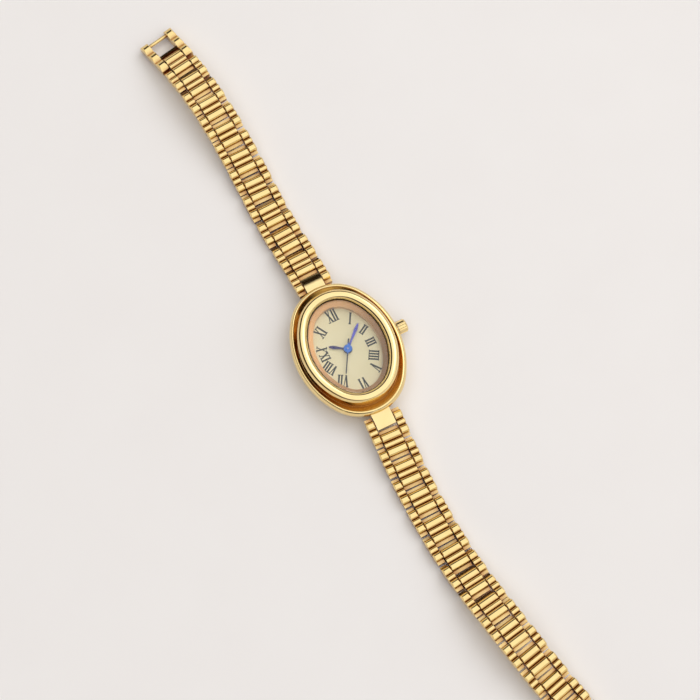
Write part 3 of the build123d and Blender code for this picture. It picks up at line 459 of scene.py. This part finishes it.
# %% Print the twelve numerals
def numeral(text, hour):
    """One numeral on the dial, at its hour."""
    angle = math.radians(hour * 360 / len(NUMERALS))
    outer, inner = oval_reach(OUTER_OVAL, angle), oval_reach(INNER_OVAL, angle)
    left = -sum(ADVANCE[kind] for kind in text) / 2
    planes = []
    for kind in text:
        planes += letter(kind, left, outer - inner)
        left += ADVANCE[kind]
    bpy.ops.object.select_all(action="DESELECT")
    for plane in planes:
        plane.select_set(True)
    bpy.context.view_layer.objects.active = planes[0]
    bpy.ops.object.join()
    piece = bpy.context.active_object
    reach = (outer + inner) / 2
    spot = Vector((math.sin(angle) * reach, math.cos(angle) * reach, DIAL_TOP + INK_THICKNESS))
    piece.matrix_world = Matrix.Translation(spot) @ Matrix.Rotation(-angle, 4, "Z")
    bpy.ops.object.transform_apply(location=True, rotation=True, scale=True)
    solid = piece.modifiers.new("Ink", "SOLIDIFY")
    solid.thickness = INK_THICKNESS
    solid.offset = -1.0
    bpy.ops.object.modifier_apply(modifier=solid.name)
    piece.name = "numeral_" + str(hour or len(NUMERALS))
    return piece


# The ink lies matt and nearly black on the lacquer, with the fine mottle of a print.
ink = grained("Printed dial ink", "#120C06", "#0C0804", 0.0, 0.7, 0.2 * MM)
for hour, text in enumerate(NUMERALS):
    piece = numeral(text, hour)
    piece.data.materials.append(ink)
    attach(piece, "head")
print("numerals:", len(NUMERALS))

# %% [markdown]
# The watch lies on a plain table, painted in a warm off-white. One wide plane is enough for it,
# because its edge is never seen. It lies a hair below the lowest link, so that the two surfaces
# don't flicker into each other.

# %% The table
TABLE_SIZE, TABLE_GAP = 3.0, 0.02 * MM
PAINT_CLOUD = 1 / 60
bpy.ops.object.select_all(action="DESELECT")
bpy.ops.mesh.primitive_plane_add(size=TABLE_SIZE, location=(0, 0, cad_low.z - TABLE_GAP))
table = bpy.context.active_object
table.name = "table"
paint, tree, shader, place = start_finish("Pale painted table", Roughness=0.6)
cloud = add(tree, "ShaderNodeTexNoise", {"Vector": place, "Scale": 1 / PAINT_CLOUD, "Detail": 3.0})
pale = add(tree, "ShaderNodeMix", {
    FACTOR: cloud.outputs["Fac"], FIRST: colour("#EDE9E6"), SECOND: colour("#EAE5E2")},
    data_type="RGBA")
join(tree, pale.outputs[MIXED], shader, "Base Color")
table.data.materials.append(paint)
print("the paint's clouds are", round(PAINT_CLOUD / MM, 1), "mm wide")

# %% [markdown]
# Polished gold is a mirror, so the room is also the picture in the metal. A watch is photographed
# from above in a dim room, with one very wide soft box hung over it and leaning to the crown's side
# and the front, and with pale card lying low about it. The box makes the tops of the ribs bright.
# The dark part of the room, which is largest on the other side, draws the dark lines, and the card
# lights the flanks from below. The world can be that whole room: one colour ramp goes by how near a
# direction is to the middle of the box, another by how high it points, and the lighter of the two
# counts.

# %% The room
BOX_LEAN, BOX_TURN = math.radians(17.0), math.radians(-35.0)
# Each stop is a place and its tone. The box's places are cosines of the angle from its middle, and
# the card's are heights, from 0 level with the watch to 1 straight above it.
BOX_RAMP = ((0.5, "#1E150E"), (0.63, "#FFFFFF"))
CARD_RAMP = ((0.26, "#D2CCC6"), (0.36, "#1E150E"))
ROOM_STRENGTH = 1.25

room = bpy.data.worlds.new("Room")
room.use_nodes = True
tree = room.node_tree
toward = add(tree, "ShaderNodeTexCoord").outputs["Generated"]
height = add(tree, "ShaderNodeSeparateXYZ", {"Vector": toward}).outputs["Z"]
middle = (math.cos(BOX_TURN) * math.sin(BOX_LEAN), math.sin(BOX_TURN) * math.sin(BOX_LEAN),
          math.cos(BOX_LEAN))
near = add(tree, "ShaderNodeVectorMath", {0: toward, 1: middle}, operation="DOT_PRODUCT")
shades = []
for source, bands in ((near.outputs["Value"], BOX_RAMP), (height, CARD_RAMP)):
    shade = add(tree, "ShaderNodeValToRGB", {"Fac": source})
    for stop, (start, tone) in zip(shade.color_ramp.elements, bands):
        stop.position, stop.color = start, colour(tone)
    shades.append(shade.outputs["Color"])
whole = add(tree, "ShaderNodeMix", {FACTOR: 1.0, FIRST: shades[0], SECOND: shades[1]},
            data_type="RGBA", blend_type="LIGHTEN")
join(tree, whole.outputs[MIXED], tree.nodes["Background"], "Color")
tree.nodes["Background"].inputs["Strength"].default_value = ROOM_STRENGTH
bpy.context.scene.world = room
bpy.context.scene.view_settings.view_transform = "Standard"
print("the box reaches", round(math.degrees(math.acos(BOX_RAMP[-1][0]))), "degrees from its middle")

# %% [markdown]
# A box as wide as this throws only a weak shadow. One square soft lamp on the crown's side gives
# the watch a side that is lit and a soft shadow on the other.

# %% The lamp
# In metres from the middle of the watch, metres and watts
LAMP_SPOT, LAMP_SIZE, LAMP_POWER = Vector((0.55, 0.19, 0.69)), 0.6, 1.4
light = bpy.data.lights.new("soft lamp", "AREA")
light.shape, light.size, light.energy = "SQUARE", LAMP_SIZE, LAMP_POWER
lamp = bpy.data.objects.new("soft lamp", light)
lamp.location = LAMP_SPOT
lamp.rotation_euler = (-LAMP_SPOT).to_track_quat("-Z", "Y").to_euler()
bpy.context.scene.collection.objects.link(lamp)
print("the lamp stands", round(LAMP_SPOT.length, 2), "m from the watch")

# %% [markdown]
# The camera looks down at the watch from a little in front, and the watch lies turned to the left
# in its picture. It stands far back with a long lens, so the near links look hardly larger than the
# far ones.

# %% The camera
# The angles in degrees, the distances in metres, and the sensor and lens in the usual millimetres
TURN, RISE, AWAY, NEAREST = 26.3, 72.0, 0.45, 0.01
SENSOR, LENS = 36.0, 120.0
AIM = Vector((0.305, -0.274, 4.164)) * MM
eye = bpy.data.cameras.new("camera")
eye.sensor_width, eye.lens = SENSOR, LENS
eye.clip_start = NEAREST
camera = bpy.data.objects.new("camera", eye)
turn, rise = math.radians(TURN), math.radians(RISE)
backward = Vector((-math.sin(turn) * math.cos(rise), -math.cos(turn) * math.cos(rise),
                   math.sin(rise)))
camera.location = AIM + AWAY * backward
camera.rotation_euler = (math.pi / 2 - rise, 0.0, -turn)
bpy.context.scene.collection.objects.link(camera)
bpy.context.scene.camera = camera
print("the picture is", round(SENSOR / LENS * AWAY / MM, 1), "mm wide at the watch")
